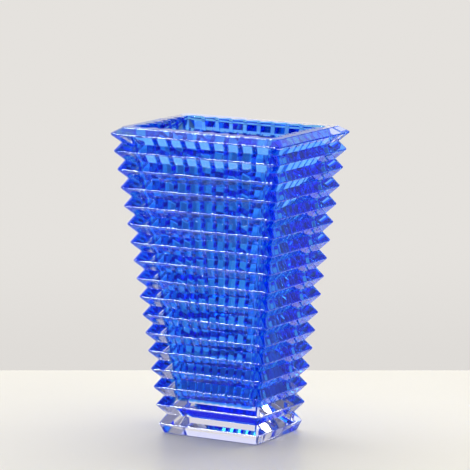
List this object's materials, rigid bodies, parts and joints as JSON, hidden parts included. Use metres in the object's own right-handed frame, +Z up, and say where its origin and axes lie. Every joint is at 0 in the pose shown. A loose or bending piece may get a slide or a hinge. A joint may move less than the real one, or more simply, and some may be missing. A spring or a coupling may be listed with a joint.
{
  "type": "cut crystal vase",
  "caption": "Tapering rectangular cut crystal vase: clear ribbed prism body over a blue vertically fluted inner casing, open at the top, on a flat polished foot.",
  "frame": {"origin": "centre of the flat base, on the plane the vase stands on", "axes": "+Z up along the vase's axis, X across the wide faces, Y across the narrow faces"},
  "size_m": [0.153, 0.1098, 0.24],
  "materials": {
    "clear_crystal": "polished",
    "blue_casing_glass": "polished"
  },
  "bodies": {
    "root": {"clear_crystal_body": "clear_crystal", "blue_inner_casing": "blue_casing_glass"}
  },
  "joints": []
}
